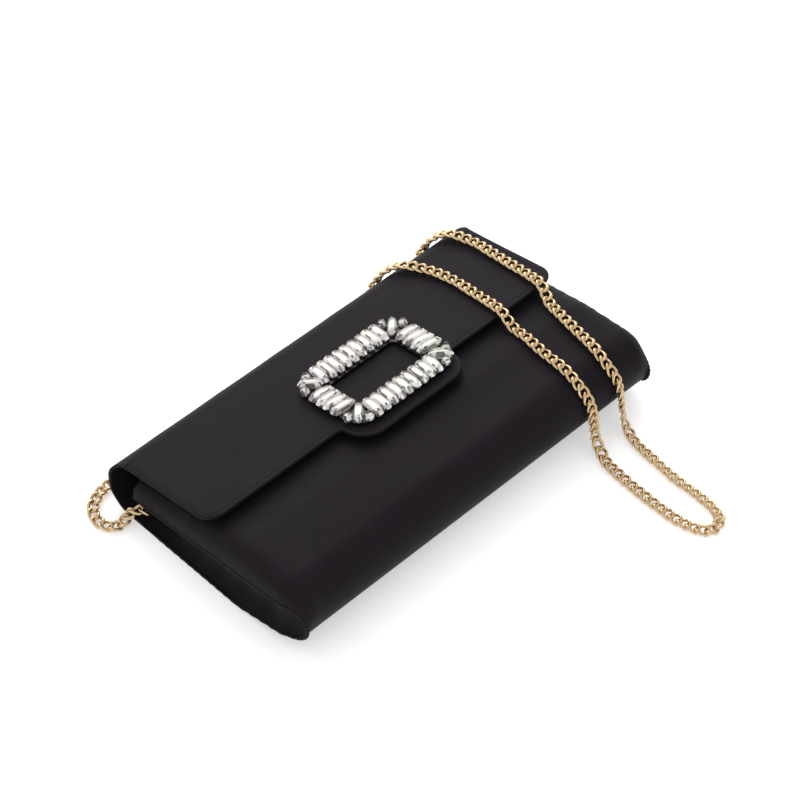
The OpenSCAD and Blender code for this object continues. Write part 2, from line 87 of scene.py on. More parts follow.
# %% [markdown]
# ## Measures that many pieces share
# The section of the bag, seen from its end, is a flat back, a rounded base and a front that falls towards the
# mouth. All of it hangs from a few places that the frame knows: the panels' boxes and the flap's hinge, which
# is the centre of the soft fold.

# %% Places from the frame
front_lo, front_hi = (Vector(c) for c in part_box("front_panel"))
fold_lo, fold_hi = (Vector(c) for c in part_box("fold_strip"))
frame_lo, frame_hi = (Vector(c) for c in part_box("buckle_frame"))
hinge = next(j for j in frame["joints"] if j["name"] == "flap_hinge")

HALF_W = front_hi.x                      # half the bag's width
BASE_Y = front_lo.y                      # the rounded base
MOUTH_Y = front_hi.y                     # the mouth's lower edge
MOUTH_UP = MOUTH_Y + 6.5 * MM             # its upper edge, tucked further under the flap
FOLD = Vector((hinge["pos_m"][1], hinge["pos_m"][2]))
FOLD_R = fold_hi.y - FOLD.x
FLAP_HALF_W = fold_hi.x
RISE = math.radians(9.93)                # the flap rises this much towards its front
FLAP_T = 3 * MM
PUFF_W = 17 * MM                         # the padded front rounds off over this width
FLAT_END = -20 * MM                      # the back lies flat up to here
BASE_C, BASE_R = Vector((-58, 26)) * MM, 20 * MM
END_C, END_R = Vector((-66.5, 22.5)) * MM, 11.5 * MM
SEAM_MOUTH_Z = 18.7 * MM
FRONT_FROM = -26 * MM                    # the front runs straight from here to the mouth
fold_top = FOLD + FOLD_R * Vector((math.sin(RISE), math.cos(RISE)))
ON_FLAP = Matrix.Translation((0, fold_top.x, fold_top.y)) @ Matrix.Rotation(-RISE, 4, "X")
print("half width", round(HALF_W, 4), "fold radius", round(FOLD_R, 4))

# %% [markdown]
# A line that leaves the table and touches a round above it needs the angle of the touching point. The same
# small formula serves the bag's middle, where the base is a large round, and its ends, where it is a small one.

# %% The bag's section
def touch_angle(point, centre, radius):
    way = centre - point
    return math.atan2(way.y, way.x) + math.asin(radius / way.length) + math.pi / 2


def soften(t):
    t = min(1.0, max(0.0, t))
    return t * t * (3 - 2 * t)


def end_x(y):
    """Half the bag's width, drawn in a little where the base's corners are rounded."""
    return HALF_W - 3.4 * MM * soften((-58 * MM - y) / (20 * MM))


def front_height(y, inset=0.0):
    below = (FLAP_T + 3.5 * MM + inset) / math.cos(RISE)
    return fold_top.y - (y - fold_top.x) * math.tan(RISE) - below


def round_at(centre, radius, angle):
    return centre + radius * Vector((math.cos(angle), math.sin(angle)))


def section_of(centre, radius, tops, inset):
    """Four runs of the section from the mouth's lower edge round the base to its upper edge."""
    start = Vector((FLAT_END, inset))
    angle = touch_angle(start, centre, radius - inset)
    touch = round_at(centre, radius - inset, angle)
    crown = centre + Vector((0, radius - inset))
    return start, angle, touch, crown, tops


def section_point(s, centre, radius, tops, inset):
    """A point of the section at s from 0, the mouth below, to 1, the mouth above."""
    start, angle, touch, crown, tops = section_of(centre, radius, tops, inset)
    if s < 0.25:
        return Vector((MOUTH_Y, inset)).lerp(start, s / 0.25)
    if s < 0.38:
        return start.lerp(touch, (s - 0.25) / 0.13)
    if s < 0.62:
        turn = (s - 0.38) / 0.24
        return round_at(centre, radius - inset, angle + (math.pi / 2 - angle) * turn)
    t = (s - 0.62) / 0.38
    if len(tops) == 2:
        knee = (tops[0].x - crown.x) / (tops[1].x - crown.x)
        if t < knee:
            return crown.lerp(tops[0], t / knee)
        return tops[0].lerp(tops[1], (t - knee) / (1 - knee))
    return crown.lerp(tops[0], t)


def body_point(x, s, inset=0.0):
    """A point on the bag's skin, with the padded edge rounding down to each side seam."""
    mid_tops = [Vector((y, front_height(y, inset))) for y in (FRONT_FROM, MOUTH_UP)]
    middle = section_point(s, BASE_C, BASE_R, mid_tops, inset)
    end = section_point(s, END_C, END_R, [Vector((MOUTH_UP, SEAM_MOUTH_Z - inset))], inset)
    share = max(0.0, (abs(x) - (HALF_W - PUFF_W)) / PUFF_W)
    share = 1 - max(0.0, 1 - min(1.0, share) ** 2.5) ** 0.4
    y, z = middle.lerp(end, share)
    return Vector((x * end_x(y) / HALF_W, y, z))


print("front height at the mouth:", round(front_height(MOUTH_Y), 4))

# %% [markdown]
# ## Making and placing pieces
# Cloth is modelled from a grid that a function lays in place, because a grid keeps its rows in line with the
# weave and can carry a UV map in metres. Everything else starts from a bmesh primitive. One helper turns a
# bmesh into a piece, hangs it on its body and hides the CAD nodes it stands for.

# %% Helpers for pieces
def make_piece(name, bm, material, body, stands_for=(), smooth=40, tidy=True):
    if tidy:
        bmesh.ops.remove_doubles(bm, verts=bm.verts[:], dist=0.01 * MM)
        bmesh.ops.recalc_face_normals(bm, faces=bm.faces[:])
    mesh = bpy.data.meshes.new(name)
    bm.to_mesh(mesh)
    bm.free()
    mesh.shade_smooth()
    if smooth < 180:
        mesh.set_sharp_from_angle(angle=math.radians(smooth))
    mesh.materials.append(material)
    piece = bpy.data.objects.new(name, mesh)
    bpy.context.scene.collection.objects.link(piece)
    if body:
        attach(piece, body)
    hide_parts(*stands_for)
    print(name, len(mesh.polygons), "faces")
    return piece


def cloth_grid(across, along, place, size):
    """A grid whose point (u, v), each from 0 to 1, lies at place(u, v). size is its flat size, for the UV map."""
    bm = bmesh.new()
    bmesh.ops.create_grid(bm, x_segments=across, y_segments=along, size=0.5)
    uv = bm.loops.layers.uv.new("weave")
    for face in bm.faces:
        for loop in face.loops:
            u, v = loop.vert.co.x + 0.5, loop.vert.co.y + 0.5
            loop[uv].uv = (u * size[0], v * size[1])
    for vert in bm.verts:
        vert.co = place(vert.co.x + 0.5, vert.co.y + 0.5)
    return bm


def thicken(bm, thickness, inside):
    """Gives a sheet its thickness on the side of the point inside."""
    bmesh.ops.recalc_face_normals(bm, faces=bm.faces[:])
    away = sum(f.normal.dot(f.calc_center_median() - Vector(inside)) * f.calc_area() for f in bm.faces)
    if away < 0:
        bmesh.ops.reverse_faces(bm, faces=bm.faces[:])
    bmesh.ops.solidify(bm, geom=bm.faces[:], thickness=thickness)


def add_part(bm, part, matrix):
    part.transform(matrix)
    mesh = bpy.data.meshes.new("part")
    part.to_mesh(mesh)
    part.free()
    bm.from_mesh(mesh)
    bpy.data.meshes.remove(mesh)


def bump_at(distance, width):
    return math.exp(-(distance / width) ** 2)


# %% [markdown]
# ## Finishes
# A shader node group holds each effect that more than one finish uses. The weave group draws the long floats
# that give satin its shine, the wear group breaks up a metal's roughness. Both put out only a value or a
# normal, and the Principled BSDF stays in each material.

# %% Small tools for shader nodes
def add_node(tree, kind, **inputs):
    node = tree.nodes.new(kind)
    for key, value in inputs.items():
        node.inputs[key.replace("_", " ")].default_value = value
    return node


def new_group(name, inputs, outputs):
    group = bpy.data.node_groups.new(name, "ShaderNodeTree")
    for label, kind, value in inputs:
        socket = group.interface.new_socket(label, in_out="INPUT", socket_type=kind)
        if value is not None:
            socket.default_value = value
    for label, kind in outputs:
        group.interface.new_socket(label, in_out="OUTPUT", socket_type=kind)
    return group, group.nodes.new("NodeGroupInput"), group.nodes.new("NodeGroupOutput")


def new_material(name, colour, roughness, **sockets):
    material = bpy.data.materials.new(name)
    material.use_nodes = True
    shader = material.node_tree.nodes["Principled BSDF"]
    shader.inputs["Base Color"].default_value = (*colour, 1)
    shader.inputs["Roughness"].default_value = roughness
    for key, value in sockets.items():
        shader.inputs[key.replace("_", " ")].default_value = value
    return material, shader


def use_group(material, group, **values):
    node = material.node_tree.nodes.new("ShaderNodeGroup")
    node.node_tree = group
    for key, value in values.items():
        node.inputs[key.replace("_", " ")].default_value = value
    return node


# %% The weave group
def make_weave_group():
    group, given, result = new_group(
        "weave",
        [("Vector", "NodeSocketVector", None), ("Float Length", "NodeSocketFloat", 1.0),
         ("Strength", "NodeSocketFloat", 0.3), ("Colour", "NodeSocketColor", (0, 0, 0, 1)),
         ("Mottle", "NodeSocketFloat", 0.2), ("Roughness", "NodeSocketFloat", 0.4)],
        [("Normal", "NodeSocketVector"), ("Colour", "NodeSocketColor"), ("Roughness", "NodeSocketFloat")])
    link = group.links.new
    stretch = group.nodes.new("ShaderNodeVectorMath")
    stretch.operation = "MULTIPLY"
    stretch.inputs[1].default_value = (3600, 420, 3600)
    link(given.outputs["Vector"], stretch.inputs[0])
    floats = add_node(group, "ShaderNodeTexNoise", Scale=1.0, Detail=2.0, Roughness=0.6)
    link(stretch.outputs[0], floats.inputs["Vector"])
    bump = add_node(group, "ShaderNodeBump", Distance=0.00006)
    link(given.outputs["Strength"], bump.inputs["Strength"])
    link(floats.outputs["Fac"], bump.inputs["Height"])
    link(bump.outputs["Normal"], result.inputs["Normal"])
    cloud = add_node(group, "ShaderNodeTexNoise", Scale=28.0, Detail=3.0, Roughness=0.55)
    link(given.outputs["Vector"], cloud.inputs["Vector"])
    lighter = group.nodes.new("ShaderNodeMix")
    lighter.data_type = "RGBA"
    lighter.blend_type = "SCREEN"
    link(given.outputs["Colour"], lighter.inputs["A"])
    link(given.outputs["Colour"], lighter.inputs["B"])
    share = group.nodes.new("ShaderNodeMath")
    share.operation = "MULTIPLY"
    link(cloud.outputs["Fac"], share.inputs[0])
    link(given.outputs["Mottle"], share.inputs[1])
    link(share.outputs[0], lighter.inputs["Factor"])
    link(lighter.outputs["Result"], result.inputs["Colour"])
    spread = group.nodes.new("ShaderNodeMath")
    spread.operation = "MULTIPLY_ADD"
    spread.inputs[1].default_value = 0.10
    link(floats.outputs["Fac"], spread.inputs[0])
    link(given.outputs["Roughness"], spread.inputs[2])
    link(spread.outputs[0], result.inputs["Roughness"])
    return group


weave = make_weave_group()
print("group", weave.name)


# %% The wear group
def make_wear_group():
    group, given, result = new_group(
        "wear",
        [("Scale", "NodeSocketFloat", 900.0), ("Roughness", "NodeSocketFloat", 0.2),
         ("Spread", "NodeSocketFloat", 0.1), ("Bump", "NodeSocketFloat", 0.1)],
        [("Roughness", "NodeSocketFloat"), ("Normal", "NodeSocketVector")])
    link = group.links.new
    place = group.nodes.new("ShaderNodeTexCoord")
    marks = add_node(group, "ShaderNodeTexNoise", Detail=4.0, Roughness=0.65)
    link(place.outputs["Object"], marks.inputs["Vector"])
    link(given.outputs["Scale"], marks.inputs["Scale"])
    mix = group.nodes.new("ShaderNodeMath")
    mix.operation = "MULTIPLY_ADD"
    link(marks.outputs["Fac"], mix.inputs[0])
    link(given.outputs["Spread"], mix.inputs[1])
    link(given.outputs["Roughness"], mix.inputs[2])
    link(mix.outputs[0], result.inputs["Roughness"])
    bump = add_node(group, "ShaderNodeBump", Distance=0.00005)
    link(given.outputs["Bump"], bump.inputs["Strength"])
    link(marks.outputs["Fac"], bump.inputs["Height"])
    link(bump.outputs["Normal"], result.inputs["Normal"])
    return group


wear = make_wear_group()
print("group", wear.name)


# %% Cloth and metal finishes
def make_cloth(name, colour, roughness, strength, mottle, **sockets):
    material, shader = new_material(name, colour, roughness, **sockets)
    link = material.node_tree.links.new
    place = material.node_tree.nodes.new("ShaderNodeTexCoord")
    cloth = use_group(material, weave, Strength=strength, Colour=(*colour, 1), Mottle=mottle,
                      Roughness=roughness)
    link(place.outputs["UV"], cloth.inputs["Vector"])
    link(cloth.outputs["Normal"], shader.inputs["Normal"])
    link(cloth.outputs["Colour"], shader.inputs["Base Color"])
    link(cloth.outputs["Roughness"], shader.inputs["Roughness"])
    return material


def make_metal(name, colour, roughness, spread, scale, bump=0.1, **sockets):
    material, shader = new_material(name, colour, roughness, Metallic=1.0, **sockets)
    link = material.node_tree.links.new
    marks = use_group(material, wear, Scale=scale, Roughness=roughness, Spread=spread, Bump=bump)
    link(marks.outputs["Roughness"], shader.inputs["Roughness"])
    link(marks.outputs["Normal"], shader.inputs["Normal"])
    return material


SHINE = (1.0, 0.86, 1.0, 1)
satin = make_cloth("black_satin", (0.0085, 0.0070, 0.0090), 0.46, 0.3, 0.6,
                   Specular_IOR_Level=0.06, Specular_Tint=SHINE)
# A darker, duller copy of the satin for the sides: painted shade, since the sides are folded in and turned away
# from the light.
shaded_side_satin = make_cloth("shaded_side_satin", (0.0050, 0.0040, 0.0052), 0.5, 0.3, 0.5,
                        Specular_IOR_Level=0.03, Specular_Tint=SHINE)
lining_cloth = make_cloth("lining_satin", (0.0050, 0.0044, 0.0056), 0.45, 0.4, 0.5,
                          Specular_IOR_Level=0.08)
thread = make_cloth("black_thread", (0.007, 0.006, 0.0075), 0.5, 0.5, 0.3, Specular_IOR_Level=0.12)
gold = make_metal("gold_plate", (0.64, 0.475, 0.28), 0.15, 0.12, 1200)
dark_metal = make_metal("dark_setting_metal", (0.085, 0.080, 0.085), 0.24, 0.15, 900)
steel = make_metal("snap_steel", (0.62, 0.61, 0.60), 0.24, 0.14, 1500)


# %% Card and foam
def make_fibrous(name, light, dark, scale):
    material, shader = new_material(name, light, 0.9)
    tree = material.node_tree
    place = tree.nodes.new("ShaderNodeTexCoord")
    fibres = add_node(tree, "ShaderNodeTexNoise", Scale=scale, Detail=4.0)
    ramp = tree.nodes.new("ShaderNodeValToRGB")
    ramp.color_ramp.elements[0].color = (*dark, 1)
    ramp.color_ramp.elements[1].color = (*light, 1)
    bump = add_node(tree, "ShaderNodeBump", Distance=0.0002, Strength=0.4)
    tree.links.new(place.outputs["Object"], fibres.inputs["Vector"])
    tree.links.new(fibres.outputs["Fac"], ramp.inputs["Fac"])
    tree.links.new(ramp.outputs["Color"], shader.inputs["Base Color"])
    tree.links.new(fibres.outputs["Fac"], bump.inputs["Height"])
    tree.links.new(bump.outputs["Normal"], shader.inputs["Normal"])
    return material


card = make_fibrous("pressed_card", (0.50, 0.42, 0.32), (0.38, 0.31, 0.23), 700)
foam = make_fibrous("foam_sheet", (0.62, 0.60, 0.56), (0.48, 0.46, 0.43), 1600)


# %% [markdown]
# Cut crystal backed with foil throws light from every facet at a different strength, some white, some grey,
# and a few with a faint rose or green tint. A colour attribute that is painted facet by facet carries this, so
# it stays on the stone in every view.

# %% Crystal finish
def make_crystal():
    material, shader = new_material("cut_crystal", (0.95, 0.94, 0.93), 0.10, IOR=1.6,
                                    Coat_Weight=0.7, Coat_Roughness=0.03)
    tree = material.node_tree
    # The facets' painted reflections come in as the stone's base colour.
    facet = tree.nodes.new("ShaderNodeAttribute")
    facet.attribute_name = "facet"
    tree.links.new(facet.outputs["Color"], shader.inputs["Base Color"])
    return material


crystal = make_crystal()
print("finishes:", len(bpy.data.materials))

# %% [markdown]
# ## The chain's route
# The chain is one piece of curb chain of about a metre. It leaves the left end of the mouth, runs along the
# back, comes over the fold and down the front in a long loop, and goes back in at the right end. The points
# are those of the plain tubes in the frame, in metres. The part that lies over the flap is a length of its
# own, because it is lifted off when the flap opens.

# %% Route points
LEFT_ROUTE = [
    (-131, 51, 9), (-135, 53, 11), (-138, 56, 11), (-141, 59, 8), (-143, 60, 5),
    (-146, 60, 3), (-150, 62, 3), (-153, 67, 3), (-153, 73, 3), (-150, 79, 3),
    (-145, 83, 3), (-138, 86, 3), (-126, 87, 3), (-110, 86, 3), (-92, 88, 3),
    (-72, 91, 3), (-52, 90, 3), (-32, 87, 3), (-12, 88, 3), (8, 91, 3),
    (26, 91, 3), (42, 88, 3), (52, 86, 3), (59, 85, 3)]
LOOP_ROUTE = [
    (64, 84, 6), (66, 83, 15), (70, 82, 25), (76, 78, 34), (82, 71, 38.6),
    (87, 61, 40), (90, 50, 41.8), (91, 35, 44.4), (90, 20, 47), (89, 5, 49.7),
    (88, -3, 51), (87, -9, 49), (86, -16, 47), (85, -26, 48.5), (83, -42, 48.8),
    (82, -58, 49.3), (81, -69, 46.4), (82, -77, 39), (83, -81, 29), (84, -82, 18),
    (84, -84, 9), (82, -90, 4), (79, -98, 3), (77, -114, 3), (76, -132, 3),
    (76, -149, 3), (78, -161, 3), (82, -169, 3), (88, -171, 3), (94, -168, 3),
    (97, -160, 3), (98, -148, 3), (98, -132, 3), (100, -114, 3), (102, -99, 3),
    (105, -90, 4), (107, -84, 9), (107, -82, 19), (106, -81, 29), (105, -77, 39),
    (104, -69, 46.4), (106, -58, 49.3), (109, -42, 48.8), (112, -26, 48.5),
    (115, -16, 47), (118, -9, 49), (120, -3, 51), (121, 5, 49.7), (122, 20, 47),
    (123, 35, 44.4), (124, 50, 41.8), (123, 61, 40), (120, 71, 38.6),
    (115, 78, 34), (109, 82, 25), (105, 83, 15), (103, 84, 6)]
RIGHT_ROUTE = [
    (110.5, 89.5, 3), (116, 91, 3), (124, 89, 3),
    (134, 86, 3), (142, 81, 3), (147, 74, 3), (148, 67, 3), (146, 61, 4),
    (142, 57, 8), (138, 54, 11), (134, 52, 10), (131, 51, 9)]


def smooth_route(route, steps=8):
    """The smooth curve through the route's points, in metres."""
    points = [Vector(p) * MM for p in route]
    line = []
    for i in range(len(points) - 1):
        a, b = points[max(i - 1, 0)], points[i]
        c, d = points[i + 1], points[min(i + 2, len(points) - 1)]
        for k in range(steps):
            t = k / steps
            line.append(0.5 * (2 * b + (c - a) * t + (2 * a - 5 * b + 4 * c - d) * t ** 2
                               + (3 * b - a - 3 * c + d) * t ** 3))
    return line + [points[-1]]


def line_length(line):
    return sum((b - a).length for a, b in zip(line, line[1:]))


def walk(line, count):
    """Places and headings at the middles of count equal stretches along the line."""
    step = line_length(line) / count
    places, done, wanted = [], 0.0, step / 2
    for a, b in zip(line, line[1:]):
        span = (b - a).length
        while wanted <= done + span and len(places) < count:
            places.append((a.lerp(b, (wanted - done) / span), (b - a).normalized()))
            wanted += step
        done += span
    return places


for label, route in (("left", LEFT_ROUTE), ("loop", LOOP_ROUTE), ("right", RIGHT_ROUTE)):
    print(label, "chain run", round(line_length(smooth_route(route)), 3), "m")

# %% [markdown]
# ## Curb links
# A curb link is an oval ring whose two long sides are bent up and down, so that each link lies flat through
# the next. A ring of wire is spun from a small circle, pulled into an oval and twisted by a sine of twice its
# angle. That one template is copied along the route with its flat side against what the chain lies on.

# %% One link
LINK_PITCH = 5.6 * MM
LINK_WIRE = 2.1 * MM
LINK_W = 7.5 * MM
CHAIN_T = 5.2 * MM


def make_link():
    bm = bmesh.new()
    ring_r = 3 * MM
    section = bmesh.ops.create_circle(
        bm, segments=6, radius=LINK_WIRE / 2,
        matrix=Matrix.Translation((ring_r, 0, 0)) @ Matrix.Rotation(math.pi / 2, 4, "X"))
    edges = list({e for v in section["verts"] for e in v.link_edges})
    bmesh.ops.spin(bm, geom=section["verts"] + edges, cent=(0, 0, 0), axis=(0, 0, 1),
                   angle=2 * math.pi, steps=12, use_merge=True)
    half_long = (LINK_PITCH + LINK_WIRE) / 2
    half_wide = (LINK_W - LINK_WIRE) / 2
    rise = 0.52 * LINK_WIRE
    for vert in bm.verts:
        angle = math.atan2(vert.co.y, vert.co.x)
        on_ring = Vector((math.cos(angle), math.sin(angle), 0)) * ring_r
        on_oval = Vector((half_long * math.cos(angle), half_wide * math.sin(angle),
                          rise * math.sin(2 * angle)))
        vert.co += on_oval - on_ring
    bmesh.ops.remove_doubles(bm, verts=bm.verts[:], dist=0.005 * MM)
    bmesh.ops.recalc_face_normals(bm, faces=bm.faces[:])
    mesh = bpy.data.meshes.new("link")
    bm.to_mesh(mesh)
    bm.free()
    return mesh


link_mesh = make_link()
print("one link has", len(link_mesh.polygons), "faces")


# %% Which way the chain faces
def off_bag(point):
    """The direction away from whatever the chain lies on, the bag or the table."""
    low, high = BASE_C, FOLD
    spine = high - low
    here = Vector((point.y, point.z))
    share = min(1.0, max(0.0, (here - low).dot(spine) / spine.length_squared))
    away = (here - low.lerp(high, share)).normalized()
    on_table = soften((14 * MM - point.z) / (9 * MM))
    up = Vector((0, 0, 1))
    return Vector((0, away.x, away.y)).lerp(up, on_table).normalized()


def even_out(vectors, rounds):
    """Averages each vector with its neighbours, so that the chain turns gently from link to link."""
    for _ in range(rounds):
        last = len(vectors) - 1
        vectors = [(vectors[max(i - 1, 0)] + 2 * v + vectors[min(i + 1, last)]).normalized()
                   for i, v in enumerate(vectors)]
    return vectors


def lay_links(line, turn=None):
    bm = bmesh.new()
    count = round(line_length(line) / LINK_PITCH)
    places = walk(line, count)
    headings = even_out([heading for _, heading in places], 1)
    aways = even_out([off_bag(place) for place, _ in places], 2)
    rolls = [turn(place) if turn else 0.0 for place, _ in places]
    settle = 3 * MM - CHAIN_T / 2 + 0.1 * MM
    for number, (place, _) in enumerate(places):
        heading, away = headings[number], aways[number]
        side = away.cross(heading).normalized()
        up = heading.cross(side).normalized()
        near = rolls[max(number - 1, 0):number + 2]
        roll = sum(near) / len(near) + 0.10 * math.sin(number * 1.7)
        basis = Matrix((heading, side, up)).transposed().to_4x4()
        placed = link_mesh.copy()
        placed.transform(Matrix.Translation(place - away * settle) @ basis @ Matrix.Rotation(roll, 4, "X"))
        bm.from_mesh(placed)
        bpy.data.meshes.remove(placed)
    return bm, count


# %% [markdown]
# The chain is laid as three lengths of links, each along its own route. The loop rides on its own body.
# When the flap opens, that body turns over to lie behind the bag.

# %% Lay the three lengths of chain
def lay_chain(name, route, node, body, turn=None):
    line = smooth_route(route)
    bm, count = lay_links(line, turn)
    piece = make_piece(name, bm, gold, body, [node], smooth=180, tidy=False)
    tuple(line[0])
    line_length(line)
    [tuple(p) for p in line]
    print(name, count, "links,", round(line_length(line), 3), "m")
    return piece


def edge_on(place):
    """The second strand turns on its edge as it drops past the base."""
    near = bump_at(place.z - 20 * MM, 16 * MM) * soften((-60 * MM - place.y) / (15 * MM))
    return 0.95 * near if place.x > 95 * MM else 0.0


chain_left = lay_chain("chain_left_links", LEFT_ROUTE + [(62, 84.5, 4.5)], "chain_left_lead", "root")
chain_loop = lay_chain("chain_loop_links", LOOP_ROUTE, "chain_loop", "chain_loop", edge_on)
chain_right = lay_chain("chain_right_links", [(104.5, 85.5, 4)] + RIGHT_ROUTE, "chain_right_lead", "root")
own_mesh(chain_loop)

# %% [markdown]
# ## The satin body
# One panel of satin starts at the mouth's lower edge, lies flat on the table, turns round the base and comes
# back over the foam to the mouth's upper edge. Its rows are closer together near the side seams, where the
# padding rounds down. Soft waves and small puckers at the seams are moved into the mesh, because they are
# wide enough to change the outline of the sheen.

# %% The wrap of satin
def across_to_x(u, half):
    t = 2 * u - 1
    return half * (0.45 * t + 0.55 * math.sin(t * math.pi / 2))


def skin_wave(x, s, point):
    """How far the satin stands off its smooth shape, in metres."""
    front = soften((s - 0.5) / 0.2)
    seam = HALF_W - abs(x)
    wave = 0.6 * math.sin(x * 38 + point.y * 55) * math.sin(point.y * 47 - x * 21)
    wave += 0.35 * math.sin(x * 90 + 1.3) * bump_at(point.y - BASE_Y, 22 * MM)
    pucker = 0.5 * math.sin(point.y / MM * 0.78 + 1.1 * math.sin(point.y / MM * 0.23))
    pucker *= math.exp(-seam / (5 * MM)) * (1 - bump_at(seam, 0.8 * MM))
    return (wave * soften(seam / (12 * MM)) + pucker) * front * MM


def wrap_point(u, v):
    x = across_to_x(u, HALF_W)
    point = body_point(x, v)
    ahead, behind = body_point(x, min(1, v + 0.004)), body_point(x, max(0, v - 0.004))
    along = ahead - behind
    out = Vector((0, along.z, -along.y)).normalized()
    corner = bump_at(HALF_W - 7 * MM - abs(x), 5 * MM) * bump_at(point.y + 73 * MM, 5 * MM)
    corner *= soften((point.z - 24 * MM) / (6 * MM))
    return point + out * (skin_wave(x, v, point) - 1.6 * MM * corner)


def make_wrap():
    bm = cloth_grid(110, 120, wrap_point, (2 * HALF_W, 0.32))
    thicken(bm, 1.1 * MM, (0, 0, 22 * MM))
    return make_piece("satin_body", bm, satin, "root", ["back_panel", "front_panel"], smooth=60)


satin_body = make_wrap()


# %% [markdown]
# ## The pleated sides
# Each side is a strip of satin between the back's edge and the seam of the front. It folds inwards a little,
# most of all at the mouth, where the bag opens. The lining's own side walls are made in the same way, a
# little further in.

# %% Heights of the side at a depth
def side_heights(y, centre, radius, top_at, inset):
    start = Vector((FLAT_END, inset))
    angle = touch_angle(start, centre, radius - inset)
    touch = round_at(centre, radius - inset, angle)
    reach = math.sqrt(max(0.0, (radius - inset) ** 2 - (y - centre.x) ** 2))
    if y > FLAT_END:
        low = inset
    elif y > touch.x:
        low = inset + (touch.y - inset) * (FLAT_END - y) / (FLAT_END - touch.x)
    else:
        low = centre.y - reach
    high = centre.y + reach if y < centre.x else top_at(y)
    return low, high


def seam_height(y, inset=0.0):
    crown = END_C.y + END_R
    share = (y - END_C.x) / (MOUTH_UP - END_C.x)
    return crown + (SEAM_MOUTH_Z - crown) * share - inset


def make_side(name, side, node):
    far, near = BASE_Y + 1.2 * MM, MOUTH_UP - 2 * MM

    def place(u, v):
        y = near + (far - near) * u
        low, high = side_heights(y, END_C, END_R, seam_height, 0.6 * MM)
        shut = soften((y - far) / (30 * MM))
        depth = (3.4 + 5.5 * soften((y - 12 * MM) / (36 * MM))) * MM * shut
        fold = math.sin(math.pi * v) ** 1.3
        ripple = 0.25 * MM * math.sin(y / MM * 0.31 + v * 2.2) * math.sin(math.pi * v)
        x = end_x(y) - 0.4 * MM - depth * fold + ripple
        return Vector((side * x, y, low + (high - low) * v))

    bm = cloth_grid(48, 14, place, (0.13, 0.04))
    thicken(bm, 0.8 * MM, (0, 0, 20 * MM))
    # The sides take the darker copy of the satin, which paints in their shade.
    return make_piece(name, bm, shaded_side_satin, "root", [node], smooth=60)


left_side = make_side("left_side", -1, "left_gusset")
right_side = make_side("right_side", 1, "right_gusset")


# %% [markdown]
# A narrow rib runs down each side where the front and the side are sewn together. It is a thin tube of satin,
# drawn in a little at each stitch.

# %% Side seams
def make_tube(centre_at, radius_at, along, around=10, flat=1.0):
    """A tube of cloth round a line. centre_at(u) is the line, in a plane of constant x or along x."""
    def place(u, v):
        centre = centre_at(u)
        way = (centre_at(min(1, u + 0.01)) - centre_at(max(0, u - 0.01))).normalized()
        one = way.cross(Vector((1, 0, 0)) if abs(way.x) < 0.7 else Vector((0, 1, 0))).normalized()
        two = way.cross(one).normalized()
        turn = 2 * math.pi * v
        return centre + radius_at(u) * (math.cos(turn) * one + flat * math.sin(turn) * two)

    return cloth_grid(along, around, place, (0.2, 0.01))


def make_seam(name, side):
    def centre_at(u):
        point = body_point(HALF_W, 1 - 0.98 * u)
        return Vector((side * (point.x - 0.5 * MM), point.y, max(point.z - 0.3 * MM, 1.2 * MM)))

    def radius_at(u):
        ends = soften(u / 0.02) * soften((1 - u) / 0.03)
        return (0.35 + 0.75 * ends + 0.13 * math.sin(u * 300)) * MM

    bm = make_tube(centre_at, radius_at, 320, 8)
    return make_piece(name, bm, satin, "root", smooth=180)


left_seam = make_seam("left_seam", -1)
right_seam = make_seam("right_seam", 1)


# %% [markdown]
# ## The mouth and the lining
# The satin, the foam and the lining end together at the mouth under a turned hem. Inside, the lining follows
# the body's shape with its own side walls, and a flat pocket is sewn to its back.

# %% Hem of the mouth
def make_hem():
    def centre_at(u):
        x = (2 * u - 1) * (HALF_W - 1.5 * MM)
        point = body_point(x, 1.0)
        return Vector((x, MOUTH_UP + 0.2 * MM, point.z - 2.3 * MM))

    def radius_at(u):
        edge = soften(min(u, 1 - u) / 0.05)
        return (1.2 + 1.5 * edge) * MM

    bm = make_tube(centre_at, radius_at, 90, 12, flat=0.5)
    return make_piece("mouth_hem", bm, satin, "root", smooth=180)


mouth_hem = make_hem()


# %% Lining and its side walls
LINING_INSET = 4.0 * MM
LINING_HALF = 126.2 * MM


def make_lining():
    def place(u, v):
        x = across_to_x(u, LINING_HALF)
        wave = 0.25 * MM * math.sin(x * 60 + v * 9)
        return body_point(x, v * 0.992 + 0.004, LINING_INSET + wave)

    bm = cloth_grid(60, 70, place, (2 * LINING_HALF, 0.3))
    thicken(bm, 0.5 * MM, (0, 0, 22 * MM))
    for side in (-1, 1):
        far, near = BASE_Y + 8 * MM, MOUTH_UP - 7 * MM

        def wall(u, v):
            y = near + (far - near) * u
            low, high = side_heights(y, BASE_C, BASE_R, lambda d: body_point(LINING_HALF, 1, LINING_INSET).z
                                     + (MOUTH_UP - d) * math.tan(RISE) - 0.5 * MM, LINING_INSET)
            crown = BASE_C.y + BASE_R - LINING_INSET
            inward = 2.5 * MM * math.sin(math.pi * v)
            return Vector((side * (LINING_HALF - inward), y, low + (min(high, crown) - low) * v))

        part = cloth_grid(30, 8, wall, (0.12, 0.04))
        thicken(part, 0.5 * MM, (0, 0, 20 * MM))
        add_part(bm, part, Matrix.Identity(4))
    return make_piece("body_lining", bm, lining_cloth, "root", ["lining"], smooth=60)


body_lining = make_lining()


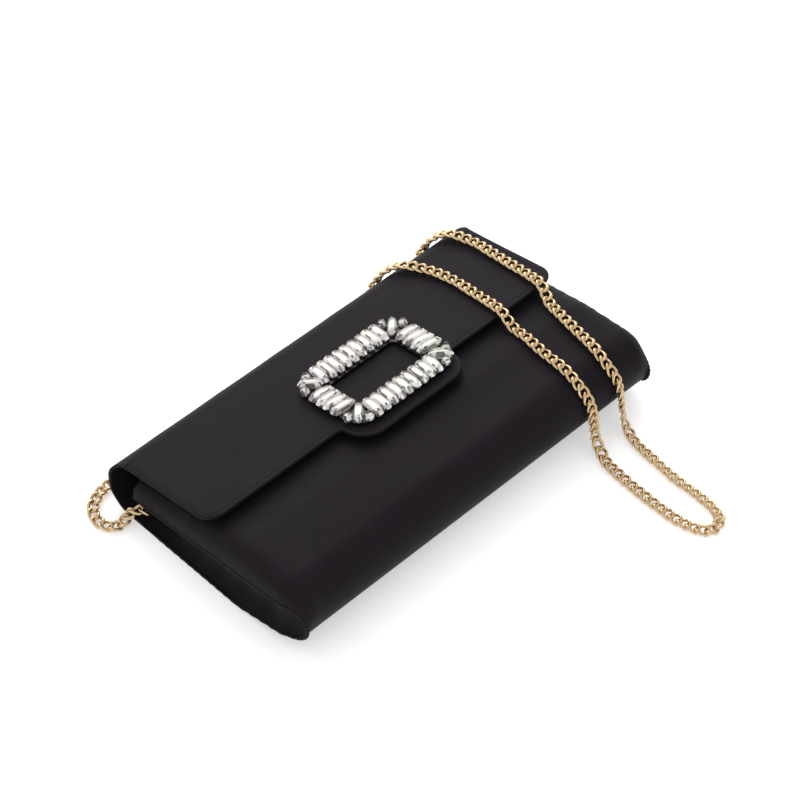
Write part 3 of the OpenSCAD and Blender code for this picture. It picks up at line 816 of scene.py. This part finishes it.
# %% Slip pocket
def make_pocket():
    low, high = (Vector(c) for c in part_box("slip_pocket"))

    def place(u, v):
        x = low.x + (high.x - low.x) * u
        y = low.y + (high.y - low.y) * v
        edge = soften(min(u, 1 - u) / 0.04) * soften(v / 0.08)
        gape = 2.2 * MM * soften(v) * math.sin(math.pi * u)
        return Vector((x, y, low.z + 0.5 * MM + (1.4 * MM + gape) * edge))

    bm = cloth_grid(40, 20, place, (high.x - low.x, high.y - low.y))
    thicken(bm, 0.6 * MM, low)
    return make_piece("slip_pocket_patch", bm, lining_cloth, "root", ["slip_pocket"], smooth=60)


slip_pocket = make_pocket()


# %% [markdown]
# ## The soft fold
# Behind the mouth the satin turns up from the table in a full soft round and runs into the flap. When the flap
# opens, only this round bends; here the piece is made in its closed shape and hung on no body.

# %% Fold
LOW_R = 14.2 * MM                        # the fold's lower round, wider than the upper one
LOW_C = Vector((FOLD.x + FOLD_R - LOW_R, LOW_R))


def fold_point(u, v):
    narrower = soften((v - 0.45) / 0.5)
    x = (2 * u - 1) * (HALF_W + (FLAP_HALF_W - HALF_W) * narrower)
    loose = bump_at(v - 0.7, 0.2) * soften((1 - v) / 0.1) * abs(2 * u - 1) ** 3
    x -= loose * (2.0 if x < 0 else 3.5) * MM
    if v < 0.18:
        flat = Vector((MOUTH_Y - 1 * MM, 0)).lerp(Vector((LOW_C.x, 0)), v / 0.18)
    elif v < 0.55:
        flat = round_at(LOW_C, LOW_R, math.pi / 2 * ((v - 0.18) / 0.37 - 1))
    elif v < 0.67:
        flat = Vector((FOLD.x + FOLD_R, LOW_R)).lerp(Vector((FOLD.x + FOLD_R, FOLD.y)), (v - 0.55) / 0.12)
    else:
        flat = round_at(FOLD, FOLD_R, (math.pi / 2 - RISE) * (v - 0.67) / 0.33)
    dent = 0.3 * MM * math.sin(x * 70 + v * 5) * math.sin(math.pi * v)
    out = (flat - FOLD).normalized()
    flat = flat - out * abs(dent) * soften((v - 0.2) / 0.2)
    return Vector((x, flat.x, flat.y))


def make_fold():
    bm = cloth_grid(70, 54, fold_point, (2 * FLAP_HALF_W, 0.065))
    thicken(bm, 1.8 * MM, (0, *FOLD))
    piece = make_piece("soft_fold", bm, satin, None, ["fold_strip"], smooth=60)
    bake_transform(piece)
    return piece


soft_fold = make_fold()

# %% [markdown]
# ## The flap
# The flap is a board covered in satin, with two rounded corners and a wide round tab in the middle of its
# front edge. Its outline starts as eight corner points. Bevelling those vertices rounds them, cutting planes
# turn the one face into a grid, and solidify gives it its thickness.

# %% Outline of the flap
buckle_mid = ON_FLAP.inverted() @ ((frame_lo + frame_hi) / 2)
TAB_X = buckle_mid.x
BUCKLE_Y = buckle_mid.y
FLAP_LEN = 72.6 * MM
TAB_OUT = 19.2 * MM
TAB_HALF = 42 * MM
TAB_MID = TAB_X - 2 * MM


def flap_face(bm, inset):
    """One face in the flap's own plane, with its corners rounded."""
    w, front, tab = FLAP_HALF_W - inset, -FLAP_LEN + inset, -FLAP_LEN - TAB_OUT + inset
    half = TAB_HALF - inset
    corners = [(-w, 0, 0), (-w, front, 11), (TAB_MID - half, front, 3), (TAB_MID - half, tab, 15.5),
               (TAB_MID + half, tab, 15.5), (TAB_MID + half, front, 3), (w, front, 11), (w, 0, 0)]
    verts = [bm.verts.new((x, y, 0)) for x, y, _ in corners]
    bm.faces.new(verts)
    for vert, (_, _, r) in zip(verts, corners):
        if r:
            shrink = inset if r != 3 else -inset
            bmesh.ops.bevel(bm, geom=[vert], offset=r * MM - shrink, offset_type="OFFSET",
                            affect="VERTICES", segments=3 if r == 3 else 9, profile=0.5, material=-1)
    return bm


def grid_cuts(bm, step):
    """Cuts the flat face into cells about step wide."""
    xs, ys = [v.co.x for v in bm.verts], [v.co.y for v in bm.verts]
    for axis, low, high in ((0, min(xs), max(xs)), (1, min(ys), max(ys))):
        for k in range(1, math.ceil((high - low) / step)):
            centre, normal = Vector((0, 0, 0)), Vector((0, 0, 0))
            centre[axis], normal[axis] = low + k * step, 1
            geom = bm.verts[:] + bm.edges[:] + bm.faces[:]
            bmesh.ops.bisect_plane(bm, geom=geom, dist=0.02 * MM, plane_co=centre, plane_no=normal)


def flat_uv(bm):
    uv = bm.loops.layers.uv.verify()
    for face in bm.faces:
        for loop in face.loops:
            loop[uv].uv = (loop.vert.co.x, loop.vert.co.y)


def flap_wave(x, y):
    wave = 0.22 * math.sin(x * 31 + 0.6) * math.sin(y * 52 + x * 17)
    return wave * soften(-y / (12 * MM)) * MM


# %% Cover and underside of the flap
def make_plate(name, inset, top, thickness, edge, material, nodes):
    bm = flap_face(bmesh.new(), inset)
    grid_cuts(bm, 5 * MM)
    flat_uv(bm)
    for face in bm.faces:
        if face.normal.z < 0:
            face.normal_flip()
    bmesh.ops.solidify(bm, geom=bm.faces[:], thickness=thickness)
    heights = [v.co.z for v in bm.verts]
    lift = top - max(heights)
    for vert in bm.verts:
        vert.co.z += lift
    rim = [e for e in bm.edges if len(e.link_faces) == 2
           and abs(e.link_faces[0].normal.z) + abs(e.link_faces[1].normal.z) < 1.2
           and abs(e.verts[0].co.z - e.verts[1].co.z) < 0.1 * thickness
           and e.verts[0].co.y < -1 * MM]
    bmesh.ops.bevel(bm, geom=rim, offset=edge, offset_type="OFFSET", affect="EDGES", segments=3,
                    profile=0.5, material=-1)
    for vert in bm.verts:
        vert.co.z += flap_wave(vert.co.x, vert.co.y)
    bm.transform(ON_FLAP)
    return make_piece(name, bm, material, "flap", nodes, smooth=60)


flap_cover = make_plate("flap_satin", 0, 0, 2.0 * MM, 0.7 * MM, satin, ["flap_cover"])
flap_under = make_plate("flap_underside", 0.7 * MM, -1.9 * MM, 1.1 * MM, 0.4 * MM, lining_cloth,
                        ["flap_lining"])


# %% [markdown]
# A row of small stitches runs round the flap's edge. The row follows the same outline, drawn smaller, and one
# stitch is a small rounded bar.

# %% Stitches
def outline_points(inset):
    bm = flap_face(bmesh.new(), inset)
    face = bm.faces[:][0]
    points = [v.co.copy() for v in face.verts]
    bm.free()
    return points


def open_run(points):
    """Turns the closed outline so that it starts and ends at the fold."""
    start = next(i for i, p in enumerate(points)
                 if p.y > -0.1 * MM and points[(i + 1) % len(points)].y < -0.1 * MM)
    turned = points[start:] + points[:start]
    return turned


def bar_mesh(length, width, height):
    bm = bmesh.new()
    bmesh.ops.create_uvsphere(bm, u_segments=6, v_segments=4, radius=0.5,
                              matrix=Matrix.Rotation(math.pi / 2, 4, "Y"))
    bmesh.ops.scale(bm, vec=(length, width, height), verts=bm.verts[:])
    uv = bm.loops.layers.uv.new("weave")
    for face in bm.faces:
        for loop in face.loops:
            loop[uv].uv = (loop.vert.co.x, loop.vert.co.y)
    mesh = bpy.data.meshes.new("bar")
    bm.to_mesh(mesh)
    bm.free()
    return mesh


def make_stitches(name, line, pitch, length, lift, to_place, body):
    bar = bar_mesh(length, 0.45 * MM, 0.4 * MM)
    bm = bmesh.new()
    for place, heading in walk(line, round(line_length(line) / pitch)):
        turn = math.atan2(heading.y, heading.x)
        placed = bar.copy()
        height = lift + flap_wave(place.x, place.y) if body == "flap" else lift
        placed.transform(to_place @ Matrix.Translation((place.x, place.y, place.z + height))
                         @ Matrix.Rotation(turn, 4, "Z"))
        bm.from_mesh(placed)
        bpy.data.meshes.remove(placed)
    return make_piece(name, bm, thread, body, smooth=180, tidy=False)


stitch_line = open_run(outline_points(3.2 * MM))
flap_stitches = make_stitches("flap_stitches", stitch_line, 3.1 * MM, 2.5 * MM, 0.05 * MM, ON_FLAP, "flap")

# %% [markdown]
# ## The crystal buckle
# A pierced frame of dark metal carries the stones. Each long crystal is a bar with rounded ends, a sloping
# crown and a narrow table, held by a claw on each side of both ends. Its template is a cone with few sides,
# stretched to the stone's length, so that every side of the cone is a facet.

# %% One crystal
random.seed(7)
# Tints of the light that the facets throw back, painted into their colour.
REFLECTED_TINTS = [(1, 0.96, 0.92), (1, 0.91, 0.90), (0.98, 0.98, 0.90), (1, 0.98, 0.95)]


def paint_facet_reflections(bm, length, dark_reflection_share):
    """Painted reflections: bright facets in the middle of a stone, greyer ones at its ends and low on its sides.
    """
    layer = bm.loops.layers.float_color.new("facet")
    tint = random.choice(REFLECTED_TINTS)
    for face in bm.faces:
        out = abs(face.calc_center_median().x) / (length / 2)
        light = random.uniform(0.82, 1.0)
        if out > 0.70:
            light = random.uniform(0.50, 1.0)
        if face.normal.z < 0.93 and random.random() < dark_reflection_share:
            light = random.uniform(0.08, 0.35)
        for loop in face.loops:
            loop[layer] = (tint[0] * light, tint[1] * light, tint[2] * light, 1)


def crystal_part(length, width, height, sides, dark_reflection_share):
    """A cut stone that stands on z = 0, with its length along x and its crown cut in two steps."""
    bm = bmesh.new()
    girdle = 0.5 * height
    bmesh.ops.create_cone(bm, cap_ends=True, segments=sides, radius1=1, radius2=0.82, depth=0.28 * height,
                          matrix=Matrix.Translation((0, 0, girdle + 0.14 * height))
                          @ Matrix.Rotation(math.pi / sides, 4, "Z"))
    bottom = [f for f in bm.faces if f.normal.z < -0.9]
    top = [f for f in bm.faces if f.normal.z > 0.9]
    bmesh.ops.inset_region(bm, faces=top, thickness=0.34, depth=0.22 * height)
    lower = bmesh.ops.extrude_face_region(bm, geom=bottom)["geom"]
    verts = [g for g in lower if isinstance(g, bmesh.types.BMVert)]
    bmesh.ops.translate(bm, verts=verts, vec=(0, 0, -girdle))
    bmesh.ops.scale(bm, verts=verts, vec=(0.86, 0.86, 1))
    bmesh.ops.delete(bm, geom=[f for f in bottom if f.is_valid], context="FACES_ONLY")
    bar = length > width
    for vert in bm.verts:
        x, y = vert.co.x, vert.co.y
        reach = max(1e-6, math.hypot(x, y))
        if bar:
            middle = max(0.0, abs(x) / reach - 0.10) / 0.90
            vert.co.x = math.copysign(reach * middle ** 0.45, x) * length / 2
            vert.co.y = y * width / 2 * (1 + 0.10 * (1 - abs(y) / reach))
        else:
            vert.co.x, vert.co.y = x * length / 2, y * width / 2
    peak = max(v.co.z for v in bm.verts)
    ridge = bmesh.ops.bisect_plane(bm, geom=bm.verts[:] + bm.edges[:] + bm.faces[:], dist=0.001 * MM,
                                   plane_co=(0, 0, 0), plane_no=(0, 1, 0))["geom_cut"]
    for vert in ridge:
        if isinstance(vert, bmesh.types.BMVert) and vert.co.z > peak - 0.01 * MM:
            vert.co.z += 0.10 * height
    bmesh.ops.recalc_face_normals(bm, faces=bm.faces[:])
    paint_facet_reflections(bm, length, dark_reflection_share)
    return bm


def claw_part(size):
    bm = bmesh.new()
    bmesh.ops.create_cube(bm, size=1)
    bmesh.ops.scale(bm, vec=(0.9 * size, 0.7 * size, 1.5 * size), verts=bm.verts[:])
    bmesh.ops.bevel(bm, geom=bm.edges[:], offset=0.24 * size, offset_type="OFFSET", affect="EDGES",
                    segments=1, profile=0.5, material=-1)
    return bm


# %% [markdown]
# The stones are placed in rows round the window: nine on each long side, all leaning the same way round, four
# on each short side, one pointing out of each corner, and two small round ones beside it. They are set by
# hand, so each one is turned and tipped by a hair.

# %% Places of the stones
WINDOW = Vector((50, 25)) * MM
BUCKLE = Vector((84, 63)) * MM
FRAME_T = 2 * MM
PITCH = 5.8 * MM
LEAN = math.radians(83)
ROW_Y, ROW_X = (BUCKLE.y + WINDOW.y) / 4, (BUCKLE.x + WINDOW.x) / 4
both = (-1, 1)

long_places = [((i - 4) * PITCH, s * ROW_Y, LEAN) for s in both for i in range(9)]
short_places = [(s * ROW_X, (i - 1.5) * PITCH, LEAN - math.pi / 2) for s in both for i in range(4)]
corner_places = [(sx * (WINDOW.x / 2 + 6.8 * MM), sy * (WINDOW.y / 2 + 7.2 * MM), sx * sy * math.pi / 4)
                 for sx in both for sy in both]
round_places = [(sx * (WINDOW.x / 2 + px * MM), sy * (WINDOW.y / 2 + py * MM), 0.0)
                for sx in both for sy in both for px, py in ((4.7, 13.6), (13, 5))]
print(len(long_places) + len(short_places) + len(corner_places) + len(round_places), "stones")


claws = bmesh.new()


def set_stones(name, places, length, width, height, sides, node, dark_reflection_share=0.28):
    bm = bmesh.new()
    for x, y, turn in places:
        tip = Matrix.Rotation(random.uniform(-0.05, 0.05), 4, "X") @ Matrix.Rotation(
            random.uniform(-0.03, 0.03), 4, "Y")
        spot = ON_FLAP @ Matrix.Translation((TAB_X + x, BUCKLE_Y + y, FRAME_T)) @ Matrix.Rotation(
            turn + random.uniform(-0.04, 0.04), 4, "Z")
        add_part(bm, crystal_part(length, width, height, sides, dark_reflection_share), spot @ tip)
        reach = length / 2 - (0.10 * length if length > width else 0.16 * width)
        spread = 0.36 * width
        for sx in both:
            for sy in both:
                lean = Matrix.Rotation(-sx * 0.3, 4, "Y") @ Matrix.Rotation(sy * 0.25, 4, "X")
                place = Matrix.Translation((sx * (reach + 0.5 * MM), sy * spread, 0.5 * height))
                add_part(claws, claw_part(0.75 * MM), spot @ place @ lean)
    return make_piece(name, bm, crystal, "flap", [node], smooth=1, tidy=False)


# %% Set the stones
long_crystals = set_stones("long_crystals", long_places, 17.6 * MM, 6.1 * MM, 3.6 * MM, 14, "long_side_stones")
short_crystals = set_stones("short_crystals", short_places, 16.8 * MM, 6.1 * MM, 3.5 * MM, 14,
                            "short_side_stones")
corner_crystals = set_stones("corner_crystals", corner_places, 15.0 * MM, 5.4 * MM, 4.0 * MM, 14,
                             "corner_stones")
round_crystals = set_stones("round_crystals", round_places, 5.8 * MM, 5.8 * MM, 3.2 * MM, 10,
                            "round_stones", 0.5)
stone_claws = make_piece("stone_claws", claws, dark_metal, "flap", smooth=30, tidy=False)

# %% [markdown]
# ## Satin loops for the rings
# A short folded band of satin holds each D-ring to the lining. It lies on the lining, passes round the ring's
# bar and comes back under itself.

# %% Ring loops
def make_ring_loops():
    bm = bmesh.new()
    for side, node in ((-1, "left_ring_loop"), (1, "right_ring_loop")):
        low, high = (Vector(c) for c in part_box(node))
        radius = (high.z - low.z) / 2
        bar_y, bar_z = high.y - radius, low.z + radius

        def place(u, v):
            x = low.x + (high.x - low.x) * u
            if v < 0.35:
                return Vector((x, low.y + (bar_y - low.y) * v / 0.35, bar_z + radius
                               - 1.2 * MM * (1 - v / 0.35)))
            if v < 0.65:
                turn = math.pi / 2 - math.pi * (v - 0.35) / 0.3
                return Vector((x, bar_y + radius * math.cos(turn), bar_z + radius * math.sin(turn)))
            return Vector((x, bar_y - (bar_y - low.y) * (v - 0.65) / 0.35, low.z + 0.3 * MM))

        part = cloth_grid(6, 40, place, (0.008, 0.03))
        thicken(part, 0.6 * MM, (low.x, bar_y, bar_z))
        add_part(bm, part, Matrix.Identity(4))
    return make_piece("ring_loops", bm, satin, "root", ["left_ring_loop", "right_ring_loop"],
                      smooth=60)


ring_loops = make_ring_loops()

# %% [markdown]
# ## Finishes for the parts that come from the frame
# The snap, the rings, the clasps, the buckle's frame and the boards keep their own meshes. Each only gets
# its finish, by the material slot that the record names for it.

# %% Dress the frame's own parts
FINISH = {"gold": gold, "steel": steel, "buckle_metal": dark_metal, "board": card, "foam": foam,
          "satin": satin, "lining": lining_cloth, "crystal": crystal, "chain": gold}
dressed = 0
for row in frame["record"]["subparts"]:
    node = frame["nodes"][row["node"]]
    node.data.materials.clear()
    node.data.materials.append(FINISH[row["material_slot"]])
    dressed += 1
print(dressed, "frame parts dressed")

# %% [markdown]
# ## Floor, light and background
# A pale table that glows a little, under an even white surround, keeps the shadows light. One large soft box
# behind the bag draws the broad sheen on the satin.

# %% Floor
def make_floor():
    bm = bmesh.new()
    bmesh.ops.create_grid(bm, x_segments=1, y_segments=1, size=6)
    mesh = bpy.data.meshes.new("floor")
    bm.to_mesh(mesh)
    bm.free()
    material, _ = new_material("floor", (0.90, 0.90, 0.90), 0.9, Specular_IOR_Level=0.1,
                               Emission_Color=(1, 1, 1, 1), Emission_Strength=0.38)
    mesh.materials.append(material)
    floor = bpy.data.objects.new("floor", mesh)
    bpy.context.scene.collection.objects.link(floor)


make_floor()


# %% Lights and world
def add_light(name, place, aim, size, power):
    data = bpy.data.lights.new(name, "AREA")
    data.shape = "RECTANGLE"
    data.size, data.size_y = size
    data.energy = power
    light = bpy.data.objects.new(name, data)
    light.location = place
    light.rotation_euler = (Vector(aim) - Vector(place)).to_track_quat("-Z", "Y").to_euler()
    bpy.context.scene.collection.objects.link(light)


add_light("soft_box", (0.75, 1.13, 0.95), (0, 0, 0.03), (1.7, 1.7), 17)

world = bpy.data.worlds.new("studio")
world.use_nodes = True
world.node_tree.nodes["Background"].inputs["Color"].default_value = (1, 1, 1, 1)
world.node_tree.nodes["Background"].inputs["Strength"].default_value = 0.9
bpy.context.scene.world = world
bpy.context.scene.view_settings.view_transform = "Standard"
